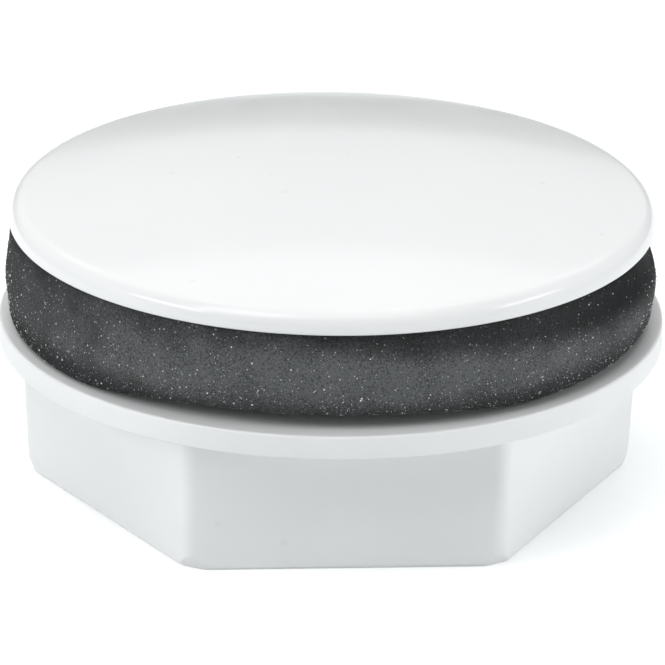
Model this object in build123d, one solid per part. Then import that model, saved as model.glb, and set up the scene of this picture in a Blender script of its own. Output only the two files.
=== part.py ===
from build123d import *
import math
import os

# A plug that blanks off an unused tap hole: a domed cap with a threaded stem, a foam washer on
# the stem, and a flanged hexagonal nut. All three share the Z axis. The nut stands on the plane
# Z = 0 with its open end down, and one flat of its hexagon faces -Y.

# Driving dimensions, in millimetres and degrees

# 3/4 inch parallel pipe thread. Stem and bore are plain here, at the mean diameter of the thread.
thread_crest_diameter = 26.44
thread_depth = 1.16
thread_play = 0.08  # between the stem and the bore, on the radius

# Domed cap
cap_diameter = 44.8
rim_thickness = 1.4
rim_round = 1.35  # of the rim's upper edge, into the dome
rim_edge_round = 0.2  # of the rim's lower edge
dome_rise = 2.4  # of the crown above the upper edge of the rim
crown_wall = 2.2  # left over the hollow of the stem
stem_wall = 2.3  # under the roots of the thread
stem_setback = 1.0  # of the stem's end from the open end of the nut
stem_lead = 1.2  # chamfer that starts the thread
stem_root_round = 0.5
hollow_round = 1.2  # where the hollow meets the crown

# Foam washer, as it is nipped between the cap and the nut
washer_proud = 0.3  # of the washer's widest ring past the rim of the cap
washer_thickness = 6.9
washer_bulge = 0.5  # of the outer face at half height
washer_edge_round = 1.2
washer_slip = 0.45  # between the crests of the thread and the washer, on the radius

# Flanged nut
across_flats = 36.8  # at the open end
hexagon_height = 9.9
hexagon_draft = 2.5  # widens each flat towards the flange
hexagon_corner_round = 1.3
open_end_round = 0.25
corner_trim = 0.45  # taken off each corner at the open end, on the radius
corner_trim_height = 0.8
flange_ledge = 1.35  # of the flange past the corners of the hexagon
flange_thickness = 1.7
flange_edge_round = 0.35
flange_root_round = 0.3
bore_lead = 0.9  # chamfer at both ends of the bore

# Sizes and levels that follow from them
cap_radius = cap_diameter / 2
stem_radius = (thread_crest_diameter - thread_depth) / 2
hollow_radius = thread_crest_diameter / 2 - thread_depth - stem_wall
bore_radius = stem_radius + thread_play
washer_bore_radius = thread_crest_diameter / 2 + washer_slip
washer_radius = cap_radius + washer_proud
widest_flats = across_flats + 2 * hexagon_height * math.tan(math.radians(hexagon_draft))
flange_radius = widest_flats / 2 / math.cos(math.pi / 6) + flange_ledge
nut_height = hexagon_height + flange_thickness
seat_level = nut_height + washer_thickness
rim_level = seat_level + rim_thickness
crown_level = rim_level + dome_rise
corner_reach = (across_flats / 2 - hexagon_corner_round) / math.cos(math.pi / 6) + hexagon_corner_round


def circles(solid, radius, level):
    """The circular edges of that radius, about the Z axis, at that level."""
    rings = solid.edges().filter_by(GeomType.CIRCLE)
    return rings.filter_by(
        lambda edge: math.isclose(edge.radius, radius, abs_tol=1e-4)
        and math.isclose(edge.center().Z, level, abs_tol=1e-4)
    )


def domed_cap():
    """A shallow dome with a round rim, on a hollow stem that is open below."""
    ceiling_level = crown_level - crown_wall
    underside = Polyline(
        (0, crown_level),
        (0, ceiling_level),
        (hollow_radius, ceiling_level),
        (hollow_radius, stem_setback),
        (stem_radius, stem_setback),
        (stem_radius, seat_level),
        (cap_radius, seat_level),
        (cap_radius, rim_level),
    )
    dome = TangentArc((0, crown_level), (cap_radius, rim_level), tangent=(1, 0))
    cap = revolve(Plane.XZ * make_face([underside, dome]), Axis.Z)
    cap = fillet(circles(cap, cap_radius, rim_level), rim_round)
    cap = fillet(circles(cap, cap_radius, seat_level), rim_edge_round)
    cap = fillet(circles(cap, stem_radius, seat_level), stem_root_round)
    cap = fillet(circles(cap, hollow_radius, ceiling_level), hollow_round)
    return chamfer(circles(cap, stem_radius, stem_setback), stem_lead)


def foam_washer():
    """A flat ring whose outer face bulges and whose outer edges are rounded."""
    edge_radius = washer_radius - washer_bulge
    flat_sides = Polyline(
        (edge_radius, seat_level),
        (washer_bore_radius, seat_level),
        (washer_bore_radius, nut_height),
        (edge_radius, nut_height),
    )
    half_height = nut_height + washer_thickness / 2
    bulge = ThreePointArc((edge_radius, nut_height), (washer_radius, half_height), (edge_radius, seat_level))
    washer = revolve(Plane.XZ * make_face([flat_sides, bulge]), Axis.Z)
    edges = circles(washer, edge_radius, nut_height) + circles(washer, edge_radius, seat_level)
    return fillet(edges, washer_edge_round)


def flanged_nut():
    """A hexagon with moulding draft under a round flange, bored right through."""
    flats = RegularPolygon(across_flats / 2, 6, major_radius=False)
    hexagon = extrude(flats, hexagon_height, taper=-hexagon_draft)
    corners = hexagon.edges().filter_by(lambda edge: abs((edge @ 1 - edge @ 0).Z) > hexagon_height / 2)
    hexagon = fillet(corners, hexagon_corner_round)
    hexagon = fillet(hexagon.faces().sort_by(Axis.Z)[0].edges(), open_end_round)
    upwards = (Align.CENTER, Align.CENTER, Align.MIN)
    trim_foot = corner_reach - corner_trim
    trim_head = trim_foot + hexagon_height * corner_trim / corner_trim_height
    hexagon &= Cone(trim_foot, trim_head, hexagon_height, align=upwards)

    flange = Pos(0, 0, hexagon_height) * Cylinder(flange_radius, flange_thickness, align=upwards)
    flange = fillet(flange.edges().filter_by(GeomType.CIRCLE), flange_edge_round)
    nut = hexagon + flange
    underside = nut.faces().filter_by(Axis.Z).filter_by(
        lambda face: math.isclose(face.center().Z, hexagon_height, abs_tol=1e-4)
    )
    root = underside[0].inner_wires()[0].edges()
    nut = fillet(root, flange_root_round)

    nut -= Cylinder(bore_radius, nut_height, align=upwards)
    mouths = circles(nut, bore_radius, 0) + circles(nut, bore_radius, nut_height)
    return chamfer(mouths, bore_lead)


os.makedirs("parts", exist_ok=True)
for piece in (domed_cap, foam_washer, flanged_nut):
    export_step(piece(), f"parts/{piece.__name__}.step")
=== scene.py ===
import bpy
import bmesh
import math
from mathutils import Matrix, Vector, noise


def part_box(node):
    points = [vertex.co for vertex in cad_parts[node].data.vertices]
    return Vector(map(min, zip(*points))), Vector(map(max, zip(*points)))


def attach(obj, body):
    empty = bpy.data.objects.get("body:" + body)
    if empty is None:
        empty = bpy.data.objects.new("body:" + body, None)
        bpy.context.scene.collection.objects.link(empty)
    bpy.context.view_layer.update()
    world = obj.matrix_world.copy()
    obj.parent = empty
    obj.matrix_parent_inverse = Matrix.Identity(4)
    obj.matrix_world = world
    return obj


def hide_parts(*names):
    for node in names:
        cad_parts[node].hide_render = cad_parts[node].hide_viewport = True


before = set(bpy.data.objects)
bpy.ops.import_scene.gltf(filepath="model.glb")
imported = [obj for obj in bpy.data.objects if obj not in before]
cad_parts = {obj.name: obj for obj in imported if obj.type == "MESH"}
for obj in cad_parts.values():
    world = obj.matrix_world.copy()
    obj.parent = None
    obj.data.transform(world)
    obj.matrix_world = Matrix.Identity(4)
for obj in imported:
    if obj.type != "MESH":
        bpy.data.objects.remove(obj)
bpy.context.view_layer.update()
mm = 0.001
pitch = 1.814  # of the 3/4 inch pipe thread, in millimetres
threadDepth = 1.16
rowsPerPitch = 16
threadRow = pitch / rowsPerPitch
sixth = math.pi / 6  # half of one side of a hexagon, seen from its axis
noiseSpan = (0.3, 0.7)  # most values of a noise node lie between these
plasticIor = 1.49
print("frame loaded:", sorted(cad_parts))


def sizeOf(node):
    # lowest level, highest level and outer radius of a round node, in millimetres
    low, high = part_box(node)
    return low.z / mm, high.z / mm, high.x / mm


def arc(x, z, radius, start, end, steps):
    # points of an arc in the r-z plane, angles in degrees
    angles = [math.radians(start + (end - start) * i / steps) for i in range(steps + 1)]
    return [(x + radius * math.cos(a), z + radius * math.sin(a)) for a in angles]


def spaced(first, last, step):
    # evenly spaced values, with both ends
    count = max(1, round(abs(last - first) / step))
    return [first + (last - first) * i / count for i in range(count + 1)]


def smoothStep(low, high, value):
    t = min(1, max(0, (value - low) / (high - low)))
    return t * t * (3 - 2 * t)


def turnedRing(radius, level, angles):
    if radius < 1e-6:
        return [(0, 0, level)]
    return [(radius * math.cos(a), radius * math.sin(a), level) for a in angles]


def skinRings(name, rings, looped):
    # closed skin over rings of equal length; a ring of one point is a pole
    verts, starts, faces = [], [], []
    for ring in rings:
        starts.append(len(verts))
        verts += [(x * mm, y * mm, z * mm) for x, y, z in ring]
    pairs = list(zip(range(len(rings)), range(1, len(rings))))
    if looped:
        pairs.append((len(rings) - 1, 0))
    for a, b in pairs:
        count = max(len(rings[a]), len(rings[b]))
        for i in range(count):
            j = (i + 1) % count
            if len(rings[a]) == 1:
                faces.append((starts[a], starts[b] + i, starts[b] + j))
            elif len(rings[b]) == 1:
                faces.append((starts[a] + i, starts[b], starts[a] + j))
            else:
                faces.append((starts[a] + i, starts[b] + i, starts[b] + j, starts[a] + j))
    mesh = bpy.data.meshes.new(name)
    mesh.from_pydata(verts, [], faces)
    skin = bmesh.new()
    skin.from_mesh(mesh)
    bmesh.ops.recalc_face_normals(skin, faces=skin.faces)
    skin.to_mesh(mesh)
    skin.free()
    piece = bpy.data.objects.new(name, mesh)
    bpy.context.scene.collection.objects.link(piece)
    return piece


def paintPoints(piece, attribute, values):
    piece.data.attributes.new(attribute, "FLOAT", "POINT").data.foreach_set("value", values)


def paintRows(piece, attribute, values, rings):
    # one value for each ring, written on all of its points
    paintPoints(piece, attribute, [value for value, ring in zip(values, rings) for point in ring])


def smoothShade(piece, sharpAngle):
    piece.data.shade_smooth()
    piece.data.set_sharp_from_angle(angle=math.radians(sharpAngle))


# Geometry Nodes

def treeStart(name, sockets):
    tree = bpy.data.node_groups.new(name, "GeometryNodeTree")
    tree.interface.new_socket("Geometry", in_out="INPUT", socket_type="NodeSocketGeometry")
    for label, kind in sockets:
        tree.interface.new_socket(label, in_out="INPUT", socket_type="NodeSocket" + kind)
    tree.interface.new_socket("Geometry", in_out="OUTPUT", socket_type="NodeSocketGeometry")
    return tree, tree.nodes.new("NodeGroupInput"), tree.nodes.new("NodeGroupOutput")


def treeEnd(tree, inlet, outlet, geometry):
    realize = tree.nodes.new("GeometryNodeRealizeInstances")
    paint = tree.nodes.new("GeometryNodeSetMaterial")
    tree.links.new(geometry, realize.inputs["Geometry"])
    tree.links.new(realize.outputs["Geometry"], paint.inputs["Geometry"])
    tree.links.new(inlet.outputs["Material"], paint.inputs["Material"])
    tree.links.new(paint.outputs["Geometry"], outlet.inputs["Geometry"])


def mathNode(tree, operation, first, second):
    node = tree.nodes.new("ShaderNodeMath")
    node.operation = operation
    for socket, value in zip(node.inputs, (first, second)):
        if isinstance(value, (int, float)):
            socket.default_value = value
        else:
            tree.links.new(value, socket)
    return node.outputs[0]


def maskNode(tree, attribute):
    node = tree.nodes.new("GeometryNodeInputNamedAttribute")
    node.data_type = "FLOAT"
    node.inputs["Name"].default_value = attribute
    return node.outputs["Attribute"]


def makeThreadTree():
    # a right-hand helix: ridges where z / pitch - angle / turn is a half, roots where it is whole
    tree, inlet, outlet = treeStart("screwThread", [
        ("Pitch", "Float"), ("Depth", "Float"), ("Material", "Material")])
    links = tree.links
    split = tree.nodes.new("ShaderNodeSeparateXYZ")
    links.new(tree.nodes.new("GeometryNodeInputPosition").outputs[0], split.inputs[0])
    turn = mathNode(tree, "DIVIDE", mathNode(tree, "ARCTAN2", split.outputs[1], split.outputs[0]), math.tau)
    climb = mathNode(tree, "DIVIDE", split.outputs[2], inlet.outputs["Pitch"])
    phase = mathNode(tree, "MULTIPLY", mathNode(tree, "SUBTRACT", climb, turn), 2)
    rounding = tree.nodes.new("ShaderNodeMapRange")
    rounding.interpolation_type = "SMOOTHSTEP"
    rounding.inputs["To Min"].default_value = -0.5  # half the depth below the plain surface
    rounding.inputs["To Max"].default_value = 0.5  # and half above it
    links.new(mathNode(tree, "PINGPONG", phase, 1), rounding.inputs["Value"])
    height = mathNode(tree, "MULTIPLY", rounding.outputs["Result"], inlet.outputs["Depth"])
    height = mathNode(tree, "MULTIPLY", height, maskNode(tree, "threadMask"))
    level = tree.nodes.new("ShaderNodeCombineXYZ")
    links.new(split.outputs[0], level.inputs[0])
    links.new(split.outputs[1], level.inputs[1])
    outward = tree.nodes.new("ShaderNodeVectorMath")
    outward.operation = "NORMALIZE"
    links.new(level.outputs[0], outward.inputs[0])
    lift = tree.nodes.new("ShaderNodeVectorMath")
    lift.operation = "SCALE"
    links.new(outward.outputs[0], lift.inputs[0])
    links.new(height, lift.inputs["Scale"])
    move = tree.nodes.new("GeometryNodeSetPosition")
    links.new(inlet.outputs["Geometry"], move.inputs["Geometry"])
    links.new(lift.outputs[0], move.inputs["Offset"])
    treeEnd(tree, inlet, outlet, move.outputs["Geometry"])
    return tree


def makeGlintTree():
    # tiny flat-sided flakes half sunk in the foam, thickest where the mask is high
    tree, inlet, outlet = treeStart("foamGlints", [
        ("Density", "Float"), ("Smallest", "Float"), ("Largest", "Float"), ("Rarity", "Float"),
        ("Seed", "Int"), ("Material", "Material")])
    links = tree.links
    scatter = tree.nodes.new("GeometryNodeDistributePointsOnFaces")
    density = mathNode(tree, "MULTIPLY", maskNode(tree, "glintMask"), inlet.outputs["Density"])
    links.new(inlet.outputs["Geometry"], scatter.inputs["Mesh"])
    links.new(density, scatter.inputs["Density"])
    links.new(inlet.outputs["Seed"], scatter.inputs["Seed"])
    flake = tree.nodes.new("GeometryNodeMeshCone")
    flake.fill_type = "TRIANGLE_FAN"
    flake.inputs["Vertices"].default_value = 4
    flake.inputs["Radius Top"].default_value = 0
    flake.inputs["Radius Bottom"].default_value = 1
    flake.inputs["Depth"].default_value = 1
    tumble = tree.nodes.new("FunctionNodeRandomValue")
    tumble.data_type = "FLOAT_VECTOR"
    tumble.inputs["Max"].default_value = (math.tau, math.tau, math.tau)
    links.new(inlet.outputs["Seed"], tumble.inputs["Seed"])
    grade = tree.nodes.new("FunctionNodeRandomValue")
    grade.data_type = "FLOAT"
    links.new(mathNode(tree, "ADD", inlet.outputs["Seed"], 1), grade.inputs["Seed"])
    chance = [socket for socket in grade.outputs if socket.type == "VALUE"][0]
    chance = mathNode(tree, "POWER", chance, inlet.outputs["Rarity"])
    spread = mathNode(tree, "SUBTRACT", inlet.outputs["Largest"], inlet.outputs["Smallest"])
    size = mathNode(tree, "ADD", mathNode(tree, "MULTIPLY", chance, spread), inlet.outputs["Smallest"])
    place = tree.nodes.new("GeometryNodeInstanceOnPoints")
    links.new(scatter.outputs["Points"], place.inputs["Points"])
    links.new(flake.outputs["Mesh"], place.inputs["Instance"])
    links.new(tumble.outputs["Value"], place.inputs["Rotation"])
    links.new(size, place.inputs["Scale"])
    treeEnd(tree, inlet, outlet, place.outputs["Instances"])
    return tree


def applyTree(piece, tree, settings):
    # runs a tree on a piece and keeps the result as its plain mesh
    modifier = piece.modifiers.new(tree.name, "NODES")
    modifier.node_group = tree
    for item in tree.interface.items_tree:
        if item.in_out == "INPUT" and item.name in settings:
            modifier[item.identifier] = settings[item.name]
    evaluated = piece.evaluated_get(bpy.context.evaluated_depsgraph_get())
    made = bpy.data.meshes.new_from_object(evaluated)
    piece.modifiers.clear()
    piece.data = made


def cutThread(piece, material):
    applyTree(piece, threadTree, {"Pitch": pitch * mm, "Depth": threadDepth * mm, "Material": material})


# Materials

def startMaterial(name):
    material = bpy.data.materials.new(name)
    material.use_nodes = True
    tree = material.node_tree
    place = tree.nodes.new("ShaderNodeTexCoord").outputs["Object"]
    return material, tree, tree.nodes["Principled BSDF"], place


def noiseNode(tree, place, scale, detail):
    node = tree.nodes.new("ShaderNodeTexNoise")
    node.inputs["Scale"].default_value = scale
    node.inputs["Detail"].default_value = detail
    tree.links.new(place, node.inputs["Vector"])
    return node.outputs["Fac"]


def cellNode(tree, place, scale):
    node = tree.nodes.new("ShaderNodeTexVoronoi")
    node.inputs["Scale"].default_value = scale
    tree.links.new(place, node.inputs["Vector"])
    return node.outputs["Distance"]


def rampNode(tree, value, span, first, second):
    # one colour below the span, the other above it
    node = tree.nodes.new("ShaderNodeValToRGB")
    for element, position, colour in zip(node.color_ramp.elements, span, (first, second)):
        element.position = position
        element.color = (*colour, 1)
    tree.links.new(value, node.inputs["Fac"])
    return node.outputs["Color"]


def rangeNode(tree, value, span, result):
    # turns values of the span into values of the result, and holds the ends
    node = tree.nodes.new("ShaderNodeMapRange")
    for label, number in zip(("From Min", "From Max", "To Min", "To Max"), (*span, *result)):
        node.inputs[label].default_value = number
    tree.links.new(value, node.inputs["Value"])
    return node.outputs["Result"]


def mixNode(tree, factor, first, second):
    node = tree.nodes.new("ShaderNodeMix")
    node.data_type = "RGBA"
    colours = [socket for socket in node.inputs if socket.type == "RGBA"]
    tree.links.new(factor, node.inputs[0])
    for socket, value in zip(colours, (first, second)):
        if isinstance(value, tuple):
            socket.default_value = (*value, 1)
        else:
            tree.links.new(value, socket)
    return [socket for socket in node.outputs if socket.type == "RGBA"][0]


def bumpNode(tree, shader, height, strength, distance):
    node = tree.nodes.new("ShaderNodeBump")
    node.inputs["Strength"].default_value = strength
    node.inputs["Distance"].default_value = distance
    tree.links.new(height, node.inputs["Height"])
    tree.links.new(node.outputs["Normal"], shader.inputs["Normal"])


def whitePlastic(name, look):
    # moulded plastic: faint clouding, a few specks, uneven gloss and the mould's slight orange peel
    material, tree, shader, place = startMaterial(name)
    clouds = noiseNode(tree, place, look["cloudScale"], detail=3)
    clouds = rampNode(tree, clouds, noiseSpan, look["shade"], look["colour"])
    specks = cellNode(tree, place, look["speckScale"])
    specks = rangeNode(tree, specks, look["speckSize"], (look["speckDepth"], 0))
    tree.links.new(mixNode(tree, specks, clouds, look["speckColour"]), shader.inputs["Base Color"])
    gloss = noiseNode(tree, place, look["glossScale"], detail=4)
    tree.links.new(rangeNode(tree, gloss, noiseSpan, look["roughness"]), shader.inputs["Roughness"])
    shader.inputs["IOR"].default_value = plasticIor
    peel = noiseNode(tree, place, look["peelScale"], detail=2)
    bumpNode(tree, shader, peel, look["peelStrength"], look["peelDepth"])
    return material


# Domed cap with its threaded stem

capLook = {
    "rimRound": 1.35, "rimEdgeRound": 0.2, "domeRise": 2.4, "rimThickness": 1.4, "crownWall": 2.2,
    "stemRadius": 12.64, "hollowRadius": 9.76, "stemRootRound": 0.5, "stemLead": 1.2, "hollowRound": 1.2,
    "mouthRound": 0.2, "runOut": (15.4, 16.6),  # levels between which the thread fades out
    "columns": 192, "domeSteps": 48, "rimSteps": 14, "edgeSteps": 6, "mouthSteps": 4, "hollowSteps": 8,
    "underStep": 1.5, "hollowStep": 2, "sharpAngle": 38,
    "colour": (0.885, 0.892, 0.894), "shade": (0.862, 0.87, 0.873), "cloudScale": 70,
    "speckScale": 220, "speckSize": (0.03, 0.06), "speckDepth": 0.13, "speckColour": (0.5, 0.5, 0.48),
    "glossScale": 260, "roughness": (0.11, 0.17),
    "peelScale": 420, "peelStrength": 0.02, "peelDepth": 0.0001,
}


def makeCap(look):
    stemEnd, crown, radius = sizeOf("domed_cap")
    soft, edge = look["rimRound"], look["rimEdgeRound"]
    rimTop = crown - look["domeRise"]
    seat = rimTop - look["rimThickness"]
    ceiling = crown - look["crownWall"]
    domeRadius = (radius ** 2 + look["domeRise"] ** 2) / (2 * look["domeRise"])
    domeCentre = crown - domeRadius
    softX = radius - soft
    softZ = domeCentre + math.sqrt((domeRadius - soft) ** 2 - softX ** 2)
    domeEnd = math.degrees(math.atan2(softZ - domeCentre, softX))  # where the dome runs into the rim's round

    stem, root, lead = look["stemRadius"], look["stemRootRound"], look["stemLead"]
    hollow, hollowRound, mouth = look["hollowRadius"], look["hollowRound"], look["mouthRound"]
    top = arc(0, domeCentre, domeRadius, 90, domeEnd, look["domeSteps"])
    top[0] = (0, crown)
    rim = arc(softX, softZ, soft, domeEnd, 0, look["rimSteps"])[1:]
    rim += arc(radius - edge, seat + edge, edge, 0, -90, look["edgeSteps"])
    under = [(r, seat) for r in spaced(radius - edge, stem + root, look["underStep"])[1:-1]]
    shank = arc(stem + root, seat - root, root, 90, 180, look["edgeSteps"])
    shank += [(stem, z) for z in spaced(seat - root, stemEnd + lead, threadRow)[1:]]
    start = [(stem - (stemEnd + lead - z), z) for z in spaced(stemEnd + lead, stemEnd, threadRow)[1:]]
    inside = arc(hollow + mouth, stemEnd + mouth, mouth, -90, -180, look["mouthSteps"])
    inside += [(hollow, z) for z in spaced(stemEnd + mouth, ceiling - hollowRound, look["hollowStep"])[1:-1]]
    inside += arc(hollow - hollowRound, ceiling - hollowRound, hollowRound, 0, 90, look["hollowSteps"])
    inside += [(r, ceiling) for r in spaced(hollow - hollowRound, 0, look["hollowStep"])[1:]]

    profile = top + rim + under + shank + start + inside
    angles = [math.tau * i / look["columns"] for i in range(look["columns"])]
    rings = [turnedRing(r, z, angles) for r, z in profile]
    cap = skinRings("domed_cap_shell", rings, False)
    firstShank = len(top + rim + under)
    lastStart = firstShank + len(shank + start)
    masks = []
    for i, (r, z) in enumerate(profile):
        onStem = firstShank <= i < lastStart
        fade = 1 - smoothStep(*look["runOut"], z)
        masks.append(fade * min(1, (z - stemEnd) / lead) if onStem else 0)
    paintRows(cap, "threadMask", masks, rings)
    cutThread(cap, whitePlastic("capPlastic", look))
    smoothShade(cap, look["sharpAngle"])
    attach(cap, "cap")
    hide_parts("domed_cap")
    print("cap made:", len(cap.data.polygons), "faces")


# Flanged hexagonal nut

nutLook = {
    "halfFlats": 18.4, "hexagonHeight": 9.9, "draft": 2.5, "cornerRound": 1.3, "openEndRound": 0.25,
    "flangeEdgeRound": 0.18, "flangeRootRound": 0.3, "boreRadius": 12.72, "boreLead": 0.9,
    "cornerTrim": 0.45, "cornerTrimHeight": 0.8,
    "sinkDepth": 0.07, "sinkReach": 0.9,  # of each flat's middle, over this share of the flat
    "cornerColumns": 10, "flatColumns": 28, "openEndSteps": 4, "rootSteps": 5, "edgeSteps": 6,
    "footShare": 1.5, "footStep": 0.12, "flatStep": 0.8, "faceStep": 2, "sharpAngle": 38,
    "colour": (0.868, 0.876, 0.878), "shade": (0.835, 0.846, 0.85), "cloudScale": 90,
    "speckScale": 190, "speckSize": (0.03, 0.06), "speckDepth": 0.1, "speckColour": (0.5, 0.5, 0.48),
    "glossScale": 300, "roughness": (0.285, 0.36),
    "peelScale": 600, "peelStrength": 0.015, "peelDepth": 0.0001,
}


def hexagonRadius(angle, halfFlats, cornerRound):
    # distance from the axis to a hexagon with round corners, one of them on +X
    off = abs(angle % (2 * sixth) - sixth)  # from the middle of the nearest flat
    reach = (halfFlats - cornerRound) / math.cos(sixth)
    if off <= math.atan((halfFlats - cornerRound) * math.tan(sixth) / halfFlats):
        return halfFlats / math.cos(off)
    turn = sixth - off
    return reach * math.cos(turn) + math.sqrt(cornerRound ** 2 - (reach * math.sin(turn)) ** 2)


def hexagonRing(angles, halfFlats, cornerRound, level, widest, sink=0):
    # ring of the hexagon, with the corners cut back to the widest radius and the flats sunk in the middle
    ring = []
    for a in angles:
        across = math.tan(abs(a % (2 * sixth) - sixth)) / math.tan(sixth)  # 0 mid flat, 1 at a corner
        sunk = sink * max(0, 1 - (across / nutLook["sinkReach"]) ** 2) ** 2
        r = min(widest, hexagonRadius(a, halfFlats, cornerRound)) - sunk
        ring.append((r * math.cos(a), r * math.sin(a), level))
    return ring


def hexagonAngles(look):
    # close together round the corners, and on the flats closer towards them
    half, corner = look["halfFlats"], look["cornerRound"]
    cornerHalf = sixth - math.atan((half - corner) * math.tan(sixth) / half)
    flatHalf = sixth - cornerHalf
    steps = [-cornerHalf + 2 * cornerHalf * i / look["cornerColumns"] for i in range(look["cornerColumns"])]
    for i in range(look["flatColumns"]):
        steps.append(sixth - flatHalf * math.cos(math.pi * i / look["flatColumns"]))
    return [k * math.pi / 3 + step for k in range(6) for step in steps]


def makeNut(look):
    bottom, top, flange = sizeOf("flanged_nut")
    half, corner = look["halfFlats"], look["cornerRound"]
    ledge = bottom + look["hexagonHeight"]
    slope = math.tan(math.radians(look["draft"]))
    angles = hexagonAngles(look)

    def trimmed(z):
        # radius of the cone that trims the corners
        reach = (half - corner) / math.cos(sixth) + corner
        return reach + look["cornerTrim"] * ((z - bottom) / look["cornerTrimHeight"] - 1)

    bore, lead = look["boreRadius"], look["boreLead"]
    soft, root, edge = look["openEndRound"], look["flangeRootRound"], look["flangeEdgeRound"]
    rings = [turnedRing(bore + lead, bottom, angles)]
    # one more ring just inside each round keeps the flat faces flat
    rings.append(hexagonRing(angles, half - 2 * soft, corner - 2 * soft, bottom, trimmed(bottom) - soft))
    for x, z in arc(-soft, soft, soft, -90, 0, look["openEndSteps"]):  # open end into the flats
        rings.append(hexagonRing(angles, half + x + z * slope, corner + x, bottom + z, trimmed(bottom + z)))
    foot = bottom + look["footShare"] * look["cornerTrimHeight"]
    rows = spaced(bottom + soft, foot, look["footStep"])[1:-1]
    rows += spaced(foot, ledge - root, look["flatStep"])[:-1]
    for z in rows:
        share = (z - bottom) / (ledge - bottom)
        sink = look["sinkDepth"] * math.sin(math.pi * share) ** 2
        rings.append(hexagonRing(angles, half + (z - bottom) * slope, corner, z, trimmed(z), sink))
    for x, z in arc(root, ledge - root, root, 180, 90, look["rootSteps"]):  # flats into the flange
        rings.append(hexagonRing(angles, half + (z - bottom) * slope + x, corner + x, z, flange))
    collar = [(flange - 2 * edge, ledge)]
    collar += arc(flange - edge, ledge + edge, edge, -90, 0, look["edgeSteps"])
    collar += arc(flange - edge, top - edge, edge, 0, 90, look["edgeSteps"])
    collar += [(r, top) for r in spaced(flange - 2 * edge, bore + lead, look["faceStep"])]
    masks = [0] * (len(rings) + len(collar))
    rings += [turnedRing(r, z, angles) for r, z in collar]
    for z in spaced(top, bottom, threadRow)[1:-1]:  # down the bore
        flare = max(0, lead - (top - z), lead - (z - bottom))
        rings.append(turnedRing(bore + flare, z, angles))
        masks.append(1 - flare / lead)
    nut = skinRings("flanged_nut_shell", rings, True)
    paintRows(nut, "threadMask", masks, rings)
    cutThread(nut, whitePlastic("nutPlastic", look))
    smoothShade(nut, look["sharpAngle"])
    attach(nut, "nut")
    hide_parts("flanged_nut")
    print("nut made:", len(nut.data.polygons), "faces")


# Foam washer; left, right and front are as the camera sees them

foamLook = {
    "boreRadius": 13.67, "clearance": 0.02, "upperRound": (0.6, 0.9), "lowerRound": (1.7, 1.3),
    "leftLowerRound": (0.7, 0.7), "leftRange": (0.3, 0.85),  # the lower edge is crisper at the left
    "widestShare": 0.42, "lowerInset": 0.2, "upperInset": (0.3, 0.65), "rightInset": 0.1,
    "frontLift": 0.75, "liftFrom": 0.7, "liftTurn": 10, "liftStart": 0.3,  # of the lower edge, off the flange
    "waver": 0.05, "waverScale": 0.16, "grain": 0.028, "unevenScale": 2.3,
    "columns": 720, "rowStep": 0.16, "lowerSteps": 10, "upperSteps": 8, "flatSteps": 8, "sharpAngle": 60,
    # painted light and shade: how deep the cap's painted shadow lies on the foam, above which share of its
    # height, and how pale the rest is painted where the light falls
    "capShadowLine": 0.66, "capShadowDrop": 0.3, "capShadowBlur": 0.28, "capShadowLeft": 0.35,
    "capShadowFront": 0.41, "capShadowFrontRange": (-1, 0.2), "capShadowRight": 0.22, "capShadowRightRange": (0.6, 1),
    "capShadowBackRange": (-1.5, -0.1), "bellyRange": (0.1, 0.42), "bellyLeast": 0.2,
    "paintedLightSides": 0.25, "paintedLightFront": 0.75, "paintedLightRight": 0.07,
    "dark": (0.012, 0.0135, 0.014), "pale": (0.125, 0.13, 0.131), "roughness": (0.72, 0.92), "specular": 0.12,
    "cloudScale": 320, "cloudRange": (0.6, 1.35), "grainScale": 8000, "grainRange": (0.35, 1.55),
    "cellScale": 8000, "cellStrength": 0.5, "cellDepth": 0.00006,
    "speckScale": 2600, "speckSize": (0.1, 0.2), "speckDepth": 0.8, "speckColour": (0.42, 0.43, 0.43),
    "sparseScale": 1900, "sparseSpan": (0.5, 0.6), "speckPaintedLightRange": (0, 0.5), "speckShare": (0.2, 1),
    "glintDensity": 14e6, "glintSizes": (0.026, 0.095), "glintRarity": 5.0, "glintSeed": 7,
    "glintFree": (0.02, 0.05), "glintRange": (0.15, 0.8), "glintLoss": 0.7, "glintRoughness": 0.25,
    "glintColour": (0.8, 0.8, 0.78), "glintShade": (0.16, 0.16, 0.16),
    "glintScale": 3000, "glintSpan": (0.42, 0.6),
}


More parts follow.
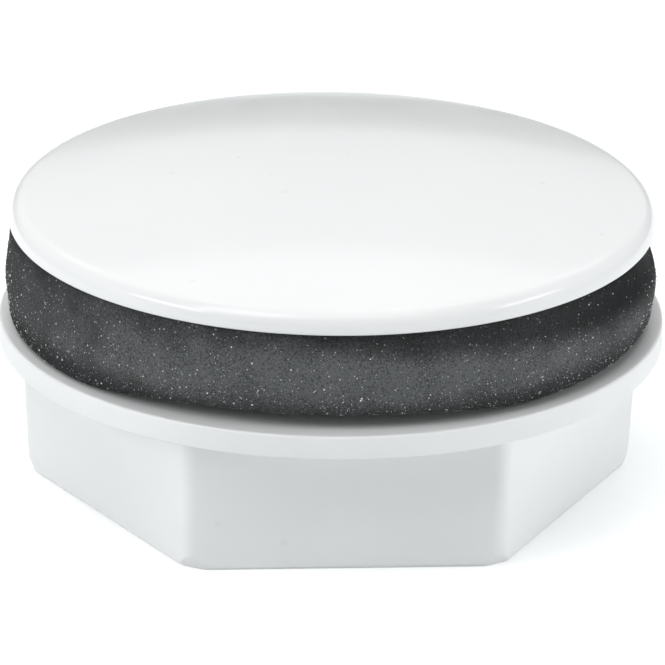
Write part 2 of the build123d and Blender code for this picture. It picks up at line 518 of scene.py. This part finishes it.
def foamMaterial(look):
    # charcoal closed-cell foam: painted paler where the light falls and darker in the cap's painted shadow,
    # with soft clouds, fine grain and pale specks
    material, tree, shader, place = startMaterial("washerFoam")
    paintedLightAndShade = tree.nodes.new("ShaderNodeAttribute")
    paintedLightAndShade.attribute_name = "paintedLightAndShade"
    paintedLightAndShade = paintedLightAndShade.outputs["Fac"]
    clouds = noiseNode(tree, place, look["cloudScale"], detail=3)
    grain = noiseNode(tree, place, look["grainScale"], detail=2)
    # the painted light and shade sets the tone between dark and pale foam, with clouds and grain on top
    tone = mathNode(tree, "MULTIPLY", paintedLightAndShade, rangeNode(tree, clouds, noiseSpan, look["cloudRange"]))
    tone = mathNode(tree, "MULTIPLY", tone, rangeNode(tree, grain, noiseSpan, look["grainRange"]))
    body = mixNode(tree, tone, look["dark"], look["pale"])
    specks = cellNode(tree, place, look["speckScale"])
    specks = rangeNode(tree, specks, look["speckSize"], (look["speckDepth"], 0))
    sparse = noiseNode(tree, place, look["sparseScale"], detail=2)
    specks = mathNode(tree, "MULTIPLY", specks, rangeNode(tree, sparse, look["sparseSpan"], (0, 1)))
    # the pale specks fade in the painted shade too
    paintedLightOnSpecks = rangeNode(tree, paintedLightAndShade, look["speckPaintedLightRange"], look["speckShare"])
    specks = mathNode(tree, "MULTIPLY", specks, paintedLightOnSpecks)
    tree.links.new(mixNode(tree, specks, body, look["speckColour"]), shader.inputs["Base Color"])
    tree.links.new(rangeNode(tree, clouds, noiseSpan, look["roughness"]), shader.inputs["Roughness"])
    shader.inputs["Specular IOR Level"].default_value = look["specular"]
    cells = mathNode(tree, "ADD", cellNode(tree, place, look["cellScale"]), grain)
    bumpNode(tree, shader, cells, look["cellStrength"], look["cellDepth"])
    return material


def glintMaterial(look):
    # specks from pale to nearly as dark as the foam
    material, tree, shader, place = startMaterial("foamGlint")
    tone = noiseNode(tree, place, look["glintScale"], detail=0)
    colour = rampNode(tree, tone, look["glintSpan"], look["glintShade"], look["glintColour"])
    tree.links.new(colour, shader.inputs["Base Color"])
    shader.inputs["Roughness"].default_value = look["glintRoughness"]
    return material


def foamSection(look, size, angle):
    # closed section at one angle: outer face with its rounds, then roof, bore and underside
    bottom, top, radius = size
    left = smoothStep(-1, 1, -math.cos(angle))
    crisp = smoothStep(*look["leftRange"], -math.cos(angle))
    facing = -math.sin(angle + math.radians(look["liftTurn"]))
    lift = look["frontLift"] * smoothStep(look["liftFrom"], 1, facing)
    reach = radius - look["waver"] - look["grain"] - look["rightInset"] * (1 - left)
    leftInset, rightInset = look["upperInset"]
    upperInset = rightInset + (leftInset - rightInset) * left
    lowerInset = look["lowerInset"]
    low, high = bottom + look["clearance"], top - look["clearance"]
    wideBelow, highBelow = [a + (b - a) * crisp for a, b in zip(look["lowerRound"], look["leftLowerRound"])]
    wideAbove, highAbove = look["upperRound"]
    start, end = low + lift + highBelow, high - highAbove
    widest = low + look["widestShare"] * (high - low)
    faceRows = round((high - low) / look["rowStep"])

    outer = []
    for x, z in arc(0, 0, 1, -90, 0, look["lowerSteps"]):
        outer.append((reach - lowerInset - wideBelow * (1 - x), start + highBelow * z))
    for i in range(1, faceRows):
        z = start + (end - start) * i / faceRows
        if z < widest:
            inset = lowerInset * smoothStep(0, 1, (widest - z) / (widest - start))
        else:
            inset = upperInset * smoothStep(0, 1, (z - widest) / (end - widest))
        outer.append((reach - inset, z))
    for x, z in arc(0, 0, 1, 0, 90, look["upperSteps"]):
        outer.append((reach - upperInset - wideAbove * (1 - x), end + highAbove * z))

    bore, steps = look["boreRadius"], look["flatSteps"]
    firstR, lastR = outer[0][0], outer[-1][0]
    roof = [(lastR + (bore - lastR) * i / steps, high) for i in range(1, steps + 1)]
    inner = [(bore, high + (low - high) * i / steps) for i in range(1, steps + 1)]
    under = []
    for i in range(1, steps):
        raised = lift * smoothStep(look["liftStart"], 1, i / steps)
        under.append((bore + (firstR - bore) * i / steps, low + raised))
    return outer, roof + inner + under


def foamPaintedLightAndGlints(look, x, y, share):
    # painted light and shade on the foam, paler on its belly and front and darker in the cap's painted
    # shadow, and how thick its specks lie, at a place and a share of its height
    right, front = x / math.hypot(x, y), -y / math.hypot(x, y)
    # painted shadow of the cap's rim on the foam's top, reaching lower at the right and fading out at the
    # back
    line = look["capShadowLine"] - look["capShadowDrop"] * max(0, right)
    paintedCapShadow = look["capShadowLeft"] + look["capShadowFront"] * smoothStep(*look["capShadowFrontRange"], right)
    paintedCapShadow += look["capShadowRight"] * smoothStep(*look["capShadowRightRange"], right)
    nearCap = smoothStep(line, line + look["capShadowBlur"], share)
    paintedCapShadow *= smoothStep(*look["capShadowBackRange"], front) * nearCap
    # painted light: paler on the belly and towards the front and right, where the light falls
    belly = look["bellyLeast"] + (1 - look["bellyLeast"]) * smoothStep(*look["bellyRange"], share)
    pale = look["paintedLightSides"] + look["paintedLightFront"] * max(0, front) + look["paintedLightRight"] * right
    # no specks against the neighbours, and fewer higher up
    clear = smoothStep(*look["glintFree"], share) * smoothStep(*look["glintFree"], 1 - share)
    glint = clear * (1 - look["glintLoss"] * smoothStep(*look["glintRange"], share))
    # fewer flakes too in the cap's painted shadow
    return pale * belly * (1 - paintedCapShadow), glint * (1 - look["glintLoss"] * paintedCapShadow)


def foamRings(look, size):
    # rings of the washer, the first of them on its uneven outer face, and the count of those
    low, high = size[:2]
    columns = []
    for i in range(look["columns"]):
        angle = math.tau * i / look["columns"]
        outer, inner = foamSection(look, size, angle)
        outerCount = len(outer)  # the same at every angle
        column = []
        for r, z in outer:
            at = Vector((r * math.cos(angle), r * math.sin(angle), z))
            fade = math.sin(math.pi * (z - low) / (high - low)) ** 0.5
            waver = look["waver"] * noise.noise(at * look["waverScale"])
            r += fade * (waver + look["grain"] * noise.noise(at * look["unevenScale"]))
            column.append((r, z))
        columns.append([(r * math.cos(angle), r * math.sin(angle), z) for r, z in column + inner])
    return [list(ring) for ring in zip(*columns)], outerCount


def makeFoam(look):
    size = sizeOf("foam_washer")
    low, high = size[:2]
    rings, outerCount = foamRings(look, size)
    paintedLightAndShade, glinting = [], []
    for i, ring in enumerate(rings):
        for x, y, z in ring:
            pale, glint = foamPaintedLightAndGlints(look, x, y, (z - low) / (high - low))
            paintedLightAndShade.append(pale)
            glinting.append(glint if i < outerCount else 0)
    foam = skinRings("foam_washer_ring", rings, True)
    # painted light and shade for the foam's colour, and where the flakes lie
    paintPoints(foam, "paintedLightAndShade", paintedLightAndShade)
    paintPoints(foam, "glintMask", glinting)
    smoothShade(foam, look["sharpAngle"])
    foam.data.materials.append(foamMaterial(look))

    glints = bpy.data.objects.new("foam_cell_glints", foam.data.copy())
    bpy.context.scene.collection.objects.link(glints)
    smallest, largest = look["glintSizes"]
    applyTree(glints, glintTree, {"Density": look["glintDensity"], "Smallest": smallest * mm,
                                  "Largest": largest * mm, "Rarity": look["glintRarity"],
                                  "Seed": look["glintSeed"], "Material": glintMaterial(look)})
    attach(foam, "washer")
    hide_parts("foam_washer")
    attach(glints, "washer")
    print("foam made:", len(foam.data.polygons), "faces and", len(glints.data.polygons), "glint faces")


# Floor, light and camera

studio = {
    "floorColour": (0.785, 0.803, 0.808), "floorRoughness": 0.9, "floorSize": 3.0, "floorDrop": 0.01,
    "floorGlow": 0.38, "glowReach": (0.16, 0.45),
    "skyTop": 0.2, "skyHorizon": 0.1, "skyRise": 0.25, "skyColour": (0.96, 1, 1.01),
    "lamps": [
        # name, azimuth from the front, elevation, distance, width, height,
        # level on a face turned to it, and whether gloss shows it
        ("leftLamp", -66, 33, 0.7, 0.3, 0.1, 0.11, True),
        ("leftPanel", -76, 12, 0.7, 0.4, 0.25, 0.2, False),
        ("leftTop", -45, 55, 0.7, 0.3, 0.3, 0.15, True),
        ("rightPanel", 72, 7, 0.7, 0.4, 0.14, 0.28, False),
        ("rightLamp", 74, 32, 0.7, 0.3, 0.1, 0.08, True),
        ("frontTop", 0, 62, 0.8, 0.5, 0.3, 0.06, True),
        ("topLamp", 0, 88, 0.8, 0.6, 0.6, 0.175, True),
        ("backLamp", 180, 58, 0.8, 0.9, 0.6, 0.25, True),
        ("backPanel", 180, 24, 0.8, 0.9, 0.35, 0.06, True),
    ],
}


def awayFrom(azimuth, elevation):
    # direction from the object, azimuth 0 towards -Y and 90 towards +X
    a, e = math.radians(azimuth), math.radians(elevation)
    return Vector((math.sin(a) * math.cos(e), -math.cos(a) * math.cos(e), math.sin(e)))


def makeFloor(look):
    half, drop = look["floorSize"] / 2, -look["floorDrop"] * mm  # just clear of the nut's underside
    corners = [(-half, -half, drop), (half, -half, drop), (half, half, drop), (-half, half, drop)]
    mesh = bpy.data.meshes.new("floor")
    mesh.from_pydata(corners, [], [(0, 1, 2, 3)])
    floor = bpy.data.objects.new("floor", mesh)
    bpy.context.scene.collection.objects.link(floor)
    material, tree, shader, place = startMaterial("paleFloor")
    shader.inputs["Base Color"].default_value = (*look["floorColour"], 1)
    shader.inputs["Roughness"].default_value = look["floorRoughness"]
    shader.inputs["Specular IOR Level"].default_value = 0
    rays = tree.nodes.new("ShaderNodeLightPath").outputs
    seen = mathNode(tree, "ADD", rays["Is Camera Ray"], rays["Is Glossy Ray"])
    seen = mathNode(tree, "ADD", seen, rays["Is Transmission Ray"])
    away = tree.nodes.new("ShaderNodeVectorMath")
    away.operation = "LENGTH"
    tree.links.new(place, away.inputs[0])
    glow = rangeNode(tree, away.outputs["Value"], look["glowReach"], (look["floorGlow"], 0))
    tree.links.new(mathNode(tree, "MULTIPLY", seen, glow), shader.inputs["Emission Strength"])
    shader.inputs["Emission Color"].default_value = (1, 1, 1, 1)
    mesh.materials.append(material)


def makeSky(look):
    world = bpy.data.worlds.new("studioSky")
    world.use_nodes = True
    bpy.context.scene.world = world
    tree = world.node_tree
    split = tree.nodes.new("ShaderNodeSeparateXYZ")
    tree.links.new(tree.nodes.new("ShaderNodeTexCoord").outputs["Generated"], split.inputs[0])
    level = rangeNode(tree, split.outputs[2], (0, look["skyRise"]), (look["skyHorizon"], look["skyTop"]))
    tree.links.new(level, tree.nodes["Background"].inputs["Strength"])
    tree.nodes["Background"].inputs["Color"].default_value = (*look["skyColour"], 1)


def makeLamps(look):
    for name, azimuth, elevation, distance, width, height, level, inGloss in look["lamps"]:
        lamp = bpy.data.lights.new(name, "AREA")
        lamp.shape = "RECTANGLE"
        lamp.size, lamp.size_y = width, height
        lamp.energy = 4 * math.pi * distance ** 2 * level
        holder = bpy.data.objects.new(name, lamp)
        bpy.context.scene.collection.objects.link(holder)
        direction = awayFrom(azimuth, elevation)
        holder.visible_glossy = inGloss
        holder.location = direction * distance
        holder.rotation_euler = direction.to_track_quat("Z", "Y").to_euler()


cameraLook = {
    "azimuth": -3.731, "elevation": 21.684, "roll": 0.758, "distance": 450,
    "aimHeight": 9, "aimRight": 0.123, "aimUp": 0.831,
    "pixelsPerMm": 14.328, "imageWidth": 665, "sensor": 36, "clip": (0.01, 20),
}


def makeCamera(look):
    back = awayFrom(look["azimuth"], look["elevation"])
    right = Vector((math.cos(math.radians(look["azimuth"])), math.sin(math.radians(look["azimuth"])), 0))
    up = back.cross(right)
    aim = Vector((0, 0, look["aimHeight"])) + right * look["aimRight"] + up * look["aimUp"]
    lens = bpy.data.cameras.new("camera")
    lens.sensor_width = look["sensor"]
    lens.lens = look["pixelsPerMm"] * look["distance"] / look["imageWidth"] * look["sensor"]
    lens.clip_start, lens.clip_end = look["clip"]
    camera = bpy.data.objects.new("camera", lens)
    bpy.context.scene.collection.objects.link(camera)
    turn = Matrix((right, up, back)).transposed() @ Matrix.Rotation(math.radians(look["roll"]), 3, "Z")
    camera.matrix_world = Matrix.Translation((aim + back * look["distance"]) * mm) @ turn.to_4x4()
    bpy.context.scene.camera = camera


threadTree = makeThreadTree()
glintTree = makeGlintTree()
makeCap(capLook)
makeNut(nutLook)
makeFoam(foamLook)
makeFloor(studio)
makeSky(studio)
makeLamps(studio)
makeCamera(cameraLook)
bpy.context.scene.view_settings.view_transform = "Standard"
print("studio and camera set")
